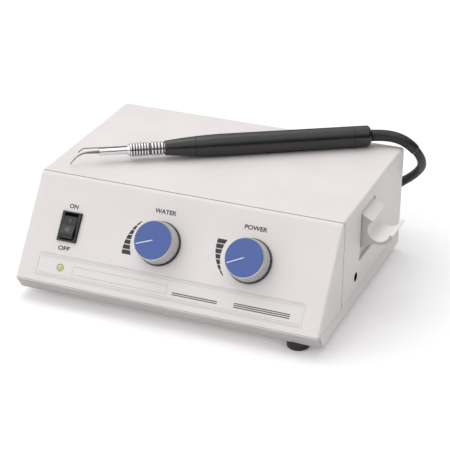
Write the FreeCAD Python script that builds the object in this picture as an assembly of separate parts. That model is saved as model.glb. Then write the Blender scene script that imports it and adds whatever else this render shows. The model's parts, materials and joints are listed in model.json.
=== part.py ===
"""Table-top ultrasonic dental scaler: a generator case with a handpiece on a cord.

Everything is modelled in millimetres in the case's own frame: x to the right from the case's
middle, y to the back from the lower edge of the sloping front, z up from the table. At the end
every node moves by one step, so that the row's origin is the bottom centre of the scaler.
"""

import FreeCAD, Part
import math
import os

V = FreeCAD.Vector
X = V(1, 0, 0)
Y = V(0, 1, 0)
Z = V(0, 0, 1)

# The case
CASE_W = 226.0
CASE_D = 184.0
CASE_BOTTOM = 6.0
FRONT_EDGE_Z = 15.7
FACE_TILT = 55.255  # slope of the front above the horizontal, in degrees
TOP_FRONT_Z = 80.4
TOP_REAR_Z = 83.4
CHIN_Y = 7.0
WALL = 2.5
SEAM = 0.3
COVER_GAP = 0.6  # between the front and the cover
COVER_GAP_Y = 46.0
PARTING_Z = 16.2
FACE_TOP_R = 5.0
REAR_TOP_R = 3.5
SIDE_EDGE_R = 2.0
HALF_W = CASE_W / 2
COS_TILT = math.cos(math.radians(FACE_TILT))
SIN_TILT = math.sin(math.radians(FACE_TILT))
TOP_FRONT_Y = (TOP_FRONT_Z - FRONT_EDGE_Z) / math.tan(math.radians(FACE_TILT))

# The front panel: u runs to the right and s up the slope, both in the face
CONTROL_S = 42.5
WATER_U = -12.0
POWER_U = 54.5
SWITCH_U = -80.8
SWITCH_S = 42.3
LAMP_U = -80.6
LAMP_S = 13.0
LAMP_R = 2.6
STRIP_U = (-98.0, 99.0)
STRIP_S = (5.3, 21.5)
STRIP_THICK = 0.5

# The knobs
KNOB_R = 14.9
KNOB_TOP_R = 13.9
KNOB_H = 13.7
CAP_R = 13.3
SHAFT_R = 3.0
BUSHING_R = 4.7
RUNNING = 0.05

# The rocker switch
SWITCH_W = 15.0
SWITCH_L = 21.4
ROCKER_W = 10.0
ROCKER_HALF_L = 9.1
ROCKER_CORNER_R = 1.5
ROCKER_TILT = 12.0
ROCKER_PIVOT_LIFT = -0.6

# The rear panel and what is on it, by x and z
PANEL_Y = 179.0
PANEL_THICK = 2.4
PANEL_BACK = PANEL_Y + PANEL_THICK
INLET_AT = (-70.0, 42.0)
FUSE_AT = (-30.0, 42.0)
JACK_AT = (0.0, 42.0)
WATER_AT = (25.0, 30.0)
GLAND_AT = (52.5, 30.0)
JACK_BORE_R = 3.25
JACK_BACK = 188.0
JACK_DEPTH = 22.0
NIPPLE_R = 3.2
NIPPLE_BACK = 196.0
GLAND_BACK = 198.5

# The feet; the front left one stands further back than the front right one
FOOT_PLACES = [(-94.0, 32.0), (94.0, 14.0), (-94.0, 170.0), (94.0, 170.0)]
FOOT_R = 8.0

# The cradle on the right side
CRADLE_Y = (84.0, 112.4)
CRADLE_X = 125.3
CRADLE_Z = 60.1
CRADLE_R = 7.9
CRADLE_WALL = 2.3
CRADLE_MOUTH = (-10.0, 130.0)  # the open part of the hook, in degrees from +x towards +z
CRADLE_PLATE_Y = (82.3, 113.9)
CRADLE_PLATE_Z = (35.8, 72.7)
RECESS_DEEP = 3.6
PLATE_SUNK = 1.8
SIDE_SCREW_Y = 75.7
SIDE_SCREW_Z = 26.5

# The handpiece: t runs along its axis from the front of the black body to the cord
HANDPIECE_FRONT = V(-40.6, 95.9, 89.65)
HANDPIECE_TURN = 31.4
HANDPIECE_RISE = 0.6
NOSE_END = 22.2
CAP_START = 138.9
HANDPIECE_END = 151.5
NOSE_R = 5.2
BARREL_R = 7.95
BARREL_FULL_AT = 45.0
TAIL_R = 7.6
INSERT_BORE_R = 4.25
COLLAR_R = 5.1
TUBE_R = 2.65
TUBE_FRONT = -46.8

# The cord, from the handpiece over the edge of the case, coiled behind it, to the gland
CORD_R = 3.3
COIL_AT = (10.0, 243.0)
COIL_OUTER_TURN = 45.0
COIL_INNER_TURN = 18.9
COIL_LAYER = 6.75
CORD_OUT = [
    (97.7, 180.2, 91.3),
    (110.4, 181.6, 89.9),
    (119.4, 183.9, 83.7),
    (124.4, 188.5, 74.9),
    (124.4, 195.2, 66.1),
    (120.8, 200.5, 59.3),
    (114.8, 203.5, 51.9),
    (104.1, 205.3, 43.3),
    (91.5, 206.2, 31.5),
    (77.5, 207.4, 15.5),
    (61.0, 206.6, 5.2),
    (38.9, 203.1, 3.4),
]
COIL_ENTRY_ANGLE = -78.0
COIL_EXIT_ANGLE = 17.6
CORD_IN = [
    (52.5, 243.0, 10.2),
    (52.5, 231.3, 15.3),
    (52.5, 223.0, 24.9),
    (52.5, 211.4, 30.0),
]


def box(x, y, z):
    """A block between the two values of each range."""
    return Part.makeBox(x[1] - x[0], y[1] - y[0], z[1] - z[0], V(x[0], y[0], z[0]))


def slab(y=(-400, 400), z=(-400, 400), x=(-400, 400)):
    """All of space between two planes, for cutting a shell into its pieces."""
    return box(x, y, z)


def rod(start, axis, radius, length):
    return Part.makeCylinder(radius, length, start, axis)


def ring(start, axis, outer, inner, length):
    return rod(start, axis, outer, length).cut(rod(start, axis, inner, length))


def turned(profile):
    """A solid of revolution about z from its (radius, height) outline."""
    points = [V(r, 0, z) for r, z in profile]
    outline = Part.makePolygon(points + points[:1])
    return Part.Face(outline).revolve(V(0, 0, 0), Z, 360)


def hex_nut(start, axis, flats, bore, thick):
    """A hexagonal nut standing on start, with its hole along axis."""
    corner = flats / math.sqrt(3)
    points = [
        V(corner * math.cos(math.radians(60 * i)), corner * math.sin(math.radians(60 * i)), 0)
        for i in range(7)
    ]
    nut = Part.Face(Part.makePolygon(points)).extrude(Z * thick)
    nut = nut.cut(rod(V(0, 0, 0), Z, bore, thick))
    nut.Placement = FreeCAD.Placement(start, FreeCAD.Rotation(Z, axis))
    return nut


def screw(start, axis, head_r, head_h, shank_r, length):
    """A pan head with a cross slot at start, and its shank along axis."""
    head = turned([(0, 0), (head_r * 0.7, 0), (head_r, head_h * 0.5), (head_r, head_h), (0, head_h)])
    slot = head_r * 0.55
    for turn in (0, 90):
        groove = box((-slot, slot), (-0.3, 0.3), (-0.1, head_h * 0.5))
        groove.rotate(V(0, 0, 0), Z, turn)
        head = head.cut(groove)
    shape = head.fuse(rod(V(0, 0, head_h), Z, shank_r, length))
    shape.Placement = FreeCAD.Placement(start, FreeCAD.Rotation(Z, axis))
    return shape


def corner_arc(before, corner, after, radius):
    """The arc of that radius that touches both straight runs at a corner."""
    back = (before - corner).normalize()
    ahead = (after - corner).normalize()
    half_turn = (math.pi - back.getAngle(ahead)) / 2
    reach = radius * math.tan(half_turn)
    centre = corner + (back + ahead).normalize() * (radius / math.cos(half_turn))
    middle = centre + (corner - centre).normalize() * radius
    return Part.Arc(corner + back * reach, middle, corner + ahead * reach)


def rounded_outline(corners, radii):
    """A closed outline whose corners have the given radii, 0 for a sharp one."""
    edges = []
    ends = []
    for i, (corner, radius) in enumerate(zip(corners, radii)):
        before = corners[i - 1]
        after = corners[(i + 1) % len(corners)]
        if radius:
            arc = corner_arc(before, corner, after, radius).toShape()
            edges.append(arc)
            ends.append((arc.valueAt(arc.FirstParameter), arc.valueAt(arc.LastParameter)))
        else:
            ends.append((corner, corner))
    for i, (_, leave) in enumerate(ends):
        arrive = ends[(i + 1) % len(ends)][0]
        edges.append(Part.LineSegment(leave, arrive).toShape())
    return Part.Wire(Part.__sortEdges__(edges))


def bend_radius(before, corner, after):
    """As large an arc as the two runs at a corner allow."""
    half_turn = (math.pi - (before - corner).getAngle(after - corner)) / 2
    shorter = min((before - corner).Length, (after - corner).Length)
    return 0.45 * shorter / math.tan(half_turn)


def route(points):
    """Straight runs joined by tangent arcs."""
    edges = []
    leave = points[0]
    for before, corner, after in zip(points, points[1:], points[2:]):
        arc = corner_arc(before, corner, after, bend_radius(before, corner, after)).toShape()
        arrive = arc.valueAt(arc.FirstParameter)
        edges.append(Part.LineSegment(leave, arrive).toShape())
        edges.append(arc)
        leave = arc.valueAt(arc.LastParameter)
    edges.append(Part.LineSegment(leave, points[-1]).toShape())
    return Part.Wire(edges)


def tube(points, radius):
    """A round bar along a route."""
    path = route(points)
    start = (points[1] - points[0]).normalize()
    section = Part.Wire(Part.Circle(points[0], start, radius).toShape())
    return path.makePipeShell([section], True, False)


def on_face(shape, u, s, lift=0.0):
    """Puts a shape on the front: its x to the right, its y up the slope, its z outwards."""
    front = FreeCAD.Placement(face_point(u, s, lift), FreeCAD.Rotation(X, FACE_TILT))
    placed = shape.copy()
    placed.Placement = front.multiply(shape.Placement)
    return placed


def face_point(u, s, lift=0.0):
    y = s * COS_TILT - lift * SIN_TILT
    z = FRONT_EDGE_Z + s * SIN_TILT + lift * COS_TILT
    return V(u, y, z)


def handpiece_axes():
    """The handpiece's own directions: across it, up from the case's top, and along it."""
    turn = math.radians(HANDPIECE_TURN)
    rise = math.radians(HANDPIECE_RISE)
    along = V(math.cos(turn) * math.cos(rise), math.sin(turn) * math.cos(rise), math.sin(rise))
    up = V(-math.cos(turn) * math.sin(rise), -math.sin(turn) * math.sin(rise), math.cos(rise))
    return up.cross(along), up, along


def on_handpiece(shape):
    """Lays a shape turned about z on the handpiece's axis, with its y upwards."""
    axis = FreeCAD.Placement(HANDPIECE_FRONT, FreeCAD.Rotation(*handpiece_axes(), "ZYX"))
    placed = shape.copy()
    placed.Placement = axis.multiply(shape.Placement)
    return placed


# ---- The case -------------------------------------------------------------------------------


def case_outline():
    """The case's side view."""
    corners = [
        V(0, 0, FRONT_EDGE_Z),
        V(0, TOP_FRONT_Y, TOP_FRONT_Z),
        V(0, CASE_D, TOP_REAR_Z),
        V(0, CASE_D, CASE_BOTTOM),
        V(0, CHIN_Y, CASE_BOTTOM),
    ]
    return rounded_outline(corners, [0, FACE_TOP_R, REAR_TOP_R, 0, 0])


def side_edges(shape):
    """The edges round both sides, but for those along the bottom."""
    found = []
    for edge in shape.Edges:
        bounds = edge.BoundBox
        on_side = bounds.XLength < 0.01 and abs(abs(bounds.XMin) - HALF_W) < 0.01
        along_bottom = bounds.ZMax < CASE_BOTTOM + 0.01
        if on_side and not along_bottom:
            found.append(edge)
    return found


def case_block():
    """The whole case as a solid block with rounded side edges."""
    block = Part.Face(case_outline()).extrude(X * CASE_W)
    block.translate(V(-HALF_W, 0, 0))
    return block.makeFillet(SIDE_EDGE_R, side_edges(block))


def case_core(inset):
    """The block that lies that far inside the case's surface."""
    face = Part.Face(case_outline()).makeOffset2D(-inset, 2)
    core = face.extrude(X * (CASE_W - 2 * inset))
    core.translate(V(-HALF_W + inset, 0, 0))
    return core


def tongue(y, z, root_y, root_z):
    """A thin band inside the walls that closes a seam, joined to the walls along its root."""
    core = case_core(WALL + 1.5)
    band = case_core(WALL + 0.1).cut(core).common(slab(y=y, z=z))
    root = case_core(WALL - 0.2).cut(core).common(slab(y=root_y, z=root_z))
    return band.fuse(root)


def base_tray(shell):
    tray = shell.common(slab(z=(0, PARTING_Z - SEAM / 2)))
    tray = tray.cut(box((-104, 104), (CASE_D - 6, CASE_D + 1), (11.5, 60)))
    floor = CASE_BOTTOM + WALL
    tray = tray.fuse(tongue((12, 176), (floor + 1.5, 19.5), (12, 176), (floor + 1.5, 14)))
    for x, y in FOOT_PLACES:
        tray = tray.fuse(rod(V(x, y, floor - 0.5), Z, 5.0, 6.0))
        tray = tray.cut(rod(V(x, y, CASE_BOTTOM - 1), Z, 1.55, 7.0))
    for x, y in BOARD_CORNERS:
        tray = tray.fuse(rod(V(x, y, floor - 0.5), Z, 3.5, BOARD_Z - floor + 0.5))
        tray = tray.cut(rod(V(x, y, floor + 0.5), Z, 1.45, BOARD_Z))
    for x in (-1, 1):
        post = box(sorted((x * 98.5, x * 102.9)), (70.5, 81.0), (floor - 0.5, 32.0))
        hole = rod(V(x * 104, SIDE_SCREW_Y, SIDE_SCREW_Z), X * -x, 1.55, 7.0)
        tray = tray.fuse(post).cut(hole)
    for x in TRANSFORMER_LEGS:
        pad = box((x - 4, x + 4), (86, 110), (floor - 0.5, CORE_Z[0] - 0.1))
        tray = tray.fuse(pad)
    return tray.removeSplitter()


def top_cover(shell):
    above = slab(y=(COVER_GAP_Y + COVER_GAP / 2, CASE_D + 1), z=(PARTING_Z + SEAM / 2, 200))
    cover = shell.common(above)
    window = box((-104, 104), (CASE_D - 6, CASE_D + 1), (10, TOP_REAR_Z - 6))
    cover = cover.cut(window)
    for x in (-1, 1):
        outside = V(x * (HALF_W + 1), SIDE_SCREW_Y, SIDE_SCREW_Z)
        cover = cover.fuse(rod(V(x * (HALF_W - 1), SIDE_SCREW_Y, SIDE_SCREW_Z), X * -x, 5.5, 8.8))
        cover = cover.cut(rod(outside, X * -x, 3.4, 6.5))
        cover = cover.cut(rod(outside, X * -x, 1.6, 12.0))
        for z in PANEL_SCREW_Z:
            side = sorted((x * 92.0, x * (HALF_W - WALL + 0.3)))
            cover = cover.fuse(box(side, (168.0, PANEL_Y - 0.1), (z - 4.5, z + 4.5)))
            cover = cover.cut(rod(V(x * PANEL_SCREW_X, PANEL_Y + 1, z), Y * -1, 1.5, 9.5))
    pad_x = (CRADLE_PAD_X, HALF_W - 1)
    cover = cover.fuse(box(pad_x, (CRADLE_PLATE_Y[0] - 2, CRADLE_PLATE_Y[1] + 2), (34.0, 74.5)))
    recess_y = (CRADLE_PLATE_Y[0] - SEAM, CRADLE_PLATE_Y[1] + SEAM)
    recess_z = (CRADLE_PLATE_Z[0] - SEAM, CRADLE_PLATE_Z[1] + SEAM)
    cover = cover.cut(box((HALF_W - RECESS_DEEP, HALF_W + 1), recess_y, recess_z))
    for z in CRADLE_SCREW_Z:
        cover = cover.cut(rod(V(HALF_W - 10, CRADLE_SCREW_Y, z), X, 1.6, 12.0))
    return cover.removeSplitter()


def front_bezel(shell):
    bezel = shell.common(slab(y=(-1, COVER_GAP_Y - COVER_GAP / 2), z=(PARTING_Z + SEAM / 2, 200)))
    bezel = bezel.fuse(tongue((41, 52), (20, 200), (41, 45), (20, 200)))
    gap = 0.08
    strip_u = (STRIP_U[0] - gap, STRIP_U[1] + gap)
    strip = box(strip_u, (STRIP_S[0] - gap, STRIP_S[1] + gap), (-0.55, 2))
    bezel = bezel.cut(on_face(strip, 0, 0))
    bezel = bezel.cut(on_face(rod(V(0, 0, -6), Z, LAMP_R + 0.1, 8), LAMP_U, LAMP_S))
    for u in (WATER_U, POWER_U):
        bezel = bezel.cut(on_face(rod(V(0, 0, -6), Z, BUSHING_R + 0.2, 8), u, CONTROL_S))
    cutout = box((-6.6, 6.6), (-10.2, 10.2), (-6, 2))
    return bezel.cut(on_face(cutout, SWITCH_U, SWITCH_S)).removeSplitter()


def label_strip():
    """The thin blank strip along the lower front, with its hole for the lamp."""
    strip = on_face(box(STRIP_U, STRIP_S, (-STRIP_THICK, -0.05)), 0, 0)
    return strip.cut(on_face(rod(V(0, 0, -2), Z, LAMP_R + 0.15, 4), LAMP_U, LAMP_S))


PANEL_SCREW_X = 97.0
PANEL_SCREW_Z = (24.5, 68.0)


def rear_panel():
    plate = case_core(WALL + 0.25).common(slab(y=(PANEL_Y, PANEL_BACK)))
    x, z = INLET_AT
    plate = plate.cut(box((x - 13.8, x + 13.8), (170, 190), (z - 10.3, z + 10.3)))
    holes = [(FUSE_AT, 6.1), (JACK_AT, 4.7), (WATER_AT, 4.2), (GLAND_AT, 5.7)]
    for (x, z), radius in holes:
        plate = plate.cut(rod(V(x, 170, z), Y, radius, 20))
    for x in (-PANEL_SCREW_X, PANEL_SCREW_X):
        for z in PANEL_SCREW_Z:
            plate = plate.cut(rod(V(x, 170, z), Y, 1.7, 20))
    return plate


def rubber_feet():
    """Four round feet, each hollowed below for its screw's head."""
    foot = turned([(1.8, 6), (1.8, 3.2), (4.2, 3.2), (4.2, 0), (FOOT_R - 1, 0), (FOOT_R - 0.3, 0.7),
                   (FOOT_R, 6)])
    return Part.Compound([foot.translated(V(x, y, 0)) for x, y in FOOT_PLACES])


def foot_screws():
    places = [V(x, y, 1.2) for x, y in FOOT_PLACES]
    return Part.Compound([screw(place, Z, 3.4, 1.9, 1.45, 8.0) for place in places])


def cover_screws():
    depth = 2.8
    screws = []
    for x in (-1, 1):
        start = V(x * (HALF_W - depth), SIDE_SCREW_Y, SIDE_SCREW_Z)
        screws.append(screw(start, X * -x, 3.0, 2.6, 1.45, 9.0))
    return Part.Compound(screws)


def panel_screws():
    screws = []
    for x in (-PANEL_SCREW_X, PANEL_SCREW_X):
        for z in PANEL_SCREW_Z:
            screws.append(screw(V(x, PANEL_BACK + 1.9, z), Y * -1, 2.8, 1.8, 1.4, 9.0))
    return Part.Compound(screws)


# ---- The switch and the lamp ----------------------------------------------------------------


def switch_housing():
    cavity_s = 9.6
    flange = box((-SWITCH_W / 2, SWITCH_W / 2), (-SWITCH_L / 2, SWITCH_L / 2), (0.05, 1.6))
    flange = flange.makeChamfer(0.5, [e for e in flange.Edges if e.BoundBox.ZMin > 1.5])
    body = flange.fuse(box((-6.5, 6.5), (-10.1, 10.1), (-14, 0.5)))
    body = body.cut(box((-5.3, 5.3), (-cavity_s, cavity_s), (-6.5, 3)))
    for x in (-1, 1):
        socket = rod(V(x * 5.2, 0, ROCKER_PIVOT_LIFT), X * x, 1.0 + RUNNING, 0.7)
        body = body.cut(socket)
    for y in (-6, 0, 6):
        body = body.fuse(box((-2.4, 2.4), (y - 0.4, y + 0.4), (-22, -13.5)))
    return on_face(body.removeSplitter(), SWITCH_U, SWITCH_S)


def switch_rocker():
    """The rocker in its on position: its upper half pressed in, its lower half standing out."""
    outline = [(0, 3.0), (6.4, 3.75), (ROCKER_HALF_L, 1.2), (6.5, -3.5)]
    mirrored = [(-y, z) for y, z in reversed(outline[1:])]
    points = [V(0, y, z) for y, z in outline + mirrored]
    rocker = Part.Face(Part.makePolygon(points + points[:1])).extrude(X * ROCKER_W)
    rocker.translate(V(-ROCKER_W / 2, 0, 0))
    block = box((-ROCKER_W / 2, ROCKER_W / 2), (-ROCKER_HALF_L, ROCKER_HALF_L), (-5, 5))
    upright = [edge for edge in block.Edges if edge.BoundBox.ZLength > 1]
    rocker = rocker.common(block.makeFillet(ROCKER_CORNER_R, upright))
    rocker = rocker.fuse(rod(V(-ROCKER_W / 2 - 0.7, 0, 0), X, 1.0, ROCKER_W + 1.4))
    rocker.rotate(V(0, 0, 0), X, -ROCKER_TILT)
    rocker.translate(V(0, 0, ROCKER_PIVOT_LIFT))
    return on_face(rocker, SWITCH_U, SWITCH_S)


def power_lamp():
    """A five-millimetre lamp with its domed front just proud of the label strip."""
    dome = Part.makeSphere(LAMP_R, V(0, 0, -1.6))
    lamp = rod(V(0, 0, -7), Z, LAMP_R, 5.4).fuse(dome)
    lamp = lamp.fuse(rod(V(0, 0, -8), Z, 3.2, 1.2))
    for x in (-1.27, 1.27):
        lamp = lamp.fuse(rod(V(x, 0, -16), Z, 0.3, 8.5))
    return on_face(lamp.removeSplitter(), LAMP_U, LAMP_S)


# ---- The knobs and what they turn -----------------------------------------------------------


def knob_body(u):
    outside = [(0, 1.5), (KNOB_R, 1.5), (KNOB_R - 0.1, 4.0), (KNOB_TOP_R, KNOB_H - 0.6),
               (KNOB_TOP_R - 0.35, KNOB_H), (0, KNOB_H)]
    body = turned(outside)
    body = body.cut(rod(V(0, 0, KNOB_H - 1.2), Z, CAP_R + 0.02, 2))
    body = body.cut(ring(V(0, 0, 1), Z, 11.8, 5.6, 9.0))
    body = body.cut(rod(V(0, 0, 1), Z, 8.0, 4.2))
    body = body.cut(rod(V(0, 0, 1), Z, SHAFT_R + 0.02, 10.2))
    return on_face(body.removeSplitter(), u, CONTROL_S)


def knob_cap(u):
    low = KNOB_H - 1.15
    cap = turned([(0, low), (CAP_R - 0.03, low), (CAP_R - 0.03, KNOB_H + 0.05), (CAP_R - 0.5, KNOB_H + 0.3),
                  (0, KNOB_H + 0.3)])
    return on_face(cap, u, CONTROL_S)


def knob_skirt(u):
    return on_face(ring(V(0, 0, 0.4), Z, KNOB_R + 0.7, 11.0, 1.05), u, CONTROL_S)


def control_shaft(u, depth):
    """A shaft with its inner end that far behind the face, and a flat for the knob's screw."""
    shaft = rod(V(0, 0, -depth), Z, SHAFT_R, depth + 11.0)
    return on_face(shaft, u, CONTROL_S)


def control_nut(u):
    return on_face(hex_nut(V(0, 0, 0.1), Z, 12.7, BUSHING_R + 0.02, 2.0), u, CONTROL_S)


def threaded_bushing():
    """The bush that holds a control in the panel, with the bore that its shaft turns in."""
    return ring(V(0, 0, -WALL - 1.5), Z, BUSHING_R, SHAFT_R + RUNNING, WALL + 1.5 + 4.6)


def potentiometer():
    body = rod(V(0, 0, -13.5), Z, 12.0, 10.9).cut(rod(V(0, 0, -9), Z, SHAFT_R + RUNNING, 8))
    body = body.fuse(threaded_bushing())
    for x in (-5, 0, 5):
        body = body.fuse(box((x - 1, x + 1), (-19, -11), (-9, -8.2)))
    return on_face(body.removeSplitter(), POWER_U, CONTROL_S)


def water_valve():
    body = box((-10, 10), (-9, 9), (-24, -2.6)).cut(rod(V(0, 0, -16), Z, SHAFT_R + RUNNING, 20))
    body = body.fuse(threaded_bushing())
    body = body.fuse(rod(V(9, 0, -19), X, 1.5, 8.0))
    body = body.fuse(rod(V(-9, 0, -19), X * -1, 1.5, 8.0))
    return on_face(body.removeSplitter(), WATER_U, CONTROL_S)


def valve_port(side):
    """The end of the water valve's barb on that side, -1 or 1."""
    return face_point(WATER_U + side * 17.0, CONTROL_S, -19.0)


# ---- The generator board --------------------------------------------------------------------

BOARD_X = (46.0, 98.0)
BOARD_Y = (62.0, 162.0)
BOARD_Z = 16.0
BOARD_TOP = BOARD_Z + 1.7
BOARD_CORNERS = [(x, y) for x in (51.0, 93.0) for y in (67.0, 157.0)]


def generator_board():
    board = box(BOARD_X, BOARD_Y, (BOARD_Z + 0.1, BOARD_TOP))
    for x, y in BOARD_CORNERS:
        board = board.cut(rod(V(x, y, 10), Z, 1.6, 20))
    return board


def board_screws():
    places = [V(x, y, BOARD_TOP + 1.9) for x, y in BOARD_CORNERS]
    return Part.Compound([screw(place, Z * -1, 2.8, 1.8, 1.35, 8.0) for place in places])


def board_components():
    """Tall capacitors, small ones, chips and a toroid, all standing on the board."""
    parts = []
    for y in (85.0, 107.0):
        parts.append(rod(V(60, y, BOARD_TOP + 0.05), Z, 9.0, 28.0))
    for i in range(5):
        parts.append(rod(V(54 + 6.5 * i, 148, BOARD_TOP + 0.05), Z, 2.5, 9.0))
    for y in (128.0, 137.0):
        parts.append(box((52, 62), (y - 3.2, y + 3.2), (BOARD_TOP + 0.05, BOARD_TOP + 3.5)))
    parts.append(ring(V(71, 122, BOARD_TOP + 0.05), Z, 9.0, 4.0, 8.0))
    return Part.Compound(parts)


def heat_sink():
    sink = box((86, 89), (75, 145), (BOARD_TOP + 0.1, 58))
    for i in range(8):
        y = 76.0 + i * 9.5
        sink = sink.fuse(box((88.9, 97), (y - 0.7, y + 0.7), (BOARD_TOP + 0.1, 58)))
    return sink.removeSplitter()


def power_transistors():
    return Part.Compound([box((81.2, 85.9), (y - 5, y + 5), (24, 40)) for y in (90.0, 110.0, 130.0)])


# ---- The mains transformer ------------------------------------------------------------------

CORE_X = (-95.0, -35.0)
CORE_Y = (84.0, 112.0)
CORE_Z = (12.0, 62.0)
LEG = 10.0
TRANSFORMER_LEGS = (CORE_X[0] + LEG / 2, CORE_X[1] - LEG / 2)


def transformer_core():
    core = box(CORE_X, CORE_Y, CORE_Z)
    for x in (CORE_X[0] + LEG, CORE_X[1] - 2 * LEG):
        core = core.cut(box((x, x + LEG), (70, 130), (CORE_Z[0] + LEG, CORE_Z[1] - LEG)))
    return core


def transformer_winding():
    gap = 0.3
    outer_x = (CORE_X[0] + LEG + gap, CORE_X[1] - LEG - gap)
    inner_x = (CORE_X[0] + 2 * LEG - gap, CORE_X[1] - 2 * LEG + gap)
    height = (CORE_Z[0] + LEG + gap, CORE_Z[1] - LEG - gap)
    winding = box(outer_x, (CORE_Y[0] - 9, CORE_Y[1] + 9), height)
    return winding.cut(box(inner_x, (CORE_Y[0] - gap, CORE_Y[1] + gap), height))


def transformer_strap():
    """The bent strap that holds the core down, with a foot on each side."""
    outer = box((CORE_X[0] - 1.6, CORE_X[1] + 1.6), (90, 106), (CASE_BOTTOM + WALL + 0.1, CORE_Z[1] + 1.6))
    inner = box((CORE_X[0] - 0.3, CORE_X[1] + 0.3), (89, 107), (0, CORE_Z[1] + 0.3))
    strap = outer.cut(inner)
    foot_z = (CASE_BOTTOM + WALL + 0.1, CASE_BOTTOM + WALL + 1.4)
    strap = strap.fuse(box((CORE_X[0] - 10, CORE_X[0] - 1), (90, 106), foot_z))
    return strap.fuse(box((CORE_X[1] + 1, CORE_X[1] + 10), (90, 106), foot_z)).removeSplitter()


# ---- The water circuit ----------------------------------------------------------------------

SOLENOID_AT = (25.0, 88.0)
SOLENOID_BLOCK_TOP = 36.0
PLUNGER_Z = (25.0, 45.0)
SPRING_TOP = 56.0
FILTER_Y = (110.0, 150.0)


def solenoid_valve():
    x, y = SOLENOID_AT
    block = box((x - 11, x + 11), (y - 12, y + 12), (CASE_BOTTOM + WALL + 0.1, SOLENOID_BLOCK_TOP))
    sleeve = rod(V(x, y, SOLENOID_BLOCK_TOP - 1), Z, 5.0, 23.5)
    block = block.fuse(sleeve)
    block = block.cut(rod(V(x, y, PLUNGER_Z[0] - 0.5), Z, 4.0 + RUNNING, SPRING_TOP - PLUNGER_Z[0] + 0.6))
    block = block.fuse(rod(V(x, y - 11, 30), Y * -1, 1.5, 5.0))
    return block.fuse(rod(V(x, y + 11, 30), Y, 1.5, 5.0)).removeSplitter()


def solenoid_coil():
    x, y = SOLENOID_AT
    return ring(V(x, y, SOLENOID_BLOCK_TOP + 0.2), Z, 11.0, 5.1, 20.0)


def solenoid_plunger():
    x, y = SOLENOID_AT
    return rod(V(x, y, PLUNGER_Z[0]), Z, 4.0, PLUNGER_Z[1] - PLUNGER_Z[0])


def solenoid_spring():
    """A coil spring between the plunger and the top of its sleeve."""
    x, y = SOLENOID_AT
    wire_r = 0.35
    low = PLUNGER_Z[1] + wire_r + 0.05
    helix = Part.makeHelix(1.7, SPRING_TOP - wire_r - 0.05 - low, 2.9)
    section = Part.Wire(Part.Circle(V(2.9, 0, 0), Y, wire_r).toShape())
    spring = helix.makePipeShell([section], True, True)
    return spring.translated(V(x, y, low))


def water_filter():
    x, z = WATER_AT
    body = rod(V(x, FILTER_Y[0] + 6, z), Y, 8.0, FILTER_Y[1] - FILTER_Y[0] - 12)
    return body.fuse(rod(V(x, FILTER_Y[0], z), Y, 1.5, FILTER_Y[1] - FILTER_Y[0])).removeSplitter()


def water_inlet():
    """A hose nipple through the rear panel, with a ridge that holds the hose."""
    x, z = WATER_AT
    back = PANEL_BACK + 0.1
    nipple = rod(V(x, 172, z), Y, NIPPLE_R, NIPPLE_BACK - 172)
    nipple = nipple.fuse(hex_nut(V(x, back, z), Y, 13.0, 1.0, 3.0))
    nipple = nipple.fuse(hex_nut(V(x, PANEL_Y - 3.1, z), Y, 11.0, 1.0, 3.0))
    nipple = nipple.fuse(rod(V(x, 166, z), Y, 1.5, 7))
    return nipple.cut(rod(V(x, 160, z), Y, 0.9, 40)).removeSplitter()


def hose(points):
    return tube([V(*p) for p in points], 2.0).cut(tube([V(*p) for p in points], 1.55))


def water_hoses():
    x, z = WATER_AT
    side = valve_port(1)
    other = valve_port(-1)
    runs = [
        [(x, 167, z), (x, FILTER_Y[1] - 5, z)],
        [(x, FILTER_Y[0] + 5, z), (x, SOLENOID_AT[1] + 13, z)],
        [(x, SOLENOID_AT[1] - 13, z), (x, 66, z), (x - 2, 55, z + 3), (x - 9, side.y, side.z),
         (side.x - 4, side.y, side.z)],
        [(other.x + 4, other.y, other.z), (other.x - 10, other.y, other.z),
         (other.x - 12, other.y + 14, other.z + 14), (-12, 66, 68), (20, 70, 72), (40, 84, 70),
         (41, 130, 62), (43, 150, 40), (GLAND_AT[0], 158, GLAND_AT[1]),
         (GLAND_AT[0], 171.9, GLAND_AT[1])],
    ]
    return Part.Compound([hose(points) for points in runs])


# ---- The rear connectors --------------------------------------------------------------------


def power_inlet():
    """The three-pin mains inlet: a flanged body with a recess and its pins."""
    x, z = INLET_AT
    back = PANEL_BACK + 0.1
    body = box((x - 13.5, x + 13.5), (158, back + 1), (z - 10, z + 10))
    body = body.fuse(box((x - 25, x + 25), (back, back + 2.6), (z - 12, z + 12)))
    body = body.cut(box((x - 12, x + 12), (166, 190), (z - 8.2, z + 8.2)))
    for dx, dz in ((0, 3.2), (-7, -2.0), (7, -2.0)):
        pin = box((x + dx - 1, x + dx + 1), (150, 178), (z + dz - 2, z + dz + 2))
        body = body.fuse(pin)
    for dx in (-20, 20):
        body = body.cut(rod(V(x + dx, 180, z), Y, 1.7, 8))
    return body.removeSplitter()


def fuse_holder():
    x, z = FUSE_AT
    holder = rod(V(x, 150, z), Y, 5.9, 34)
    holder = holder.fuse(ring(V(x, PANEL_BACK + 0.1, z), Y, 8.0, 1.0, 2.0))
    holder = holder.fuse(rod(V(x, 183, z), Y, 6.4, 9.0))
    return holder.fuse(hex_nut(V(x, PANEL_Y - 3.1, z), Y, 15.0, 1.0, 3.0)).removeSplitter()


def foot_switch_jack():
    """The socket for the foot switch's plug."""
    x, z = JACK_AT
    jack = box((x - 7, x + 7), (162, PANEL_Y - 0.1), (z - 7, z + 7))
    jack = jack.fuse(rod(V(x, 170, z), Y, 4.5, JACK_BACK - 170))
    jack = jack.fuse(hex_nut(V(x, PANEL_BACK + 0.1, z), Y, 13.0, 1.0, 2.2))
    return jack.cut(rod(V(x, JACK_BACK - JACK_DEPTH, z), Y, JACK_BORE_R, JACK_DEPTH + 1)).removeSplitter()


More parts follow.
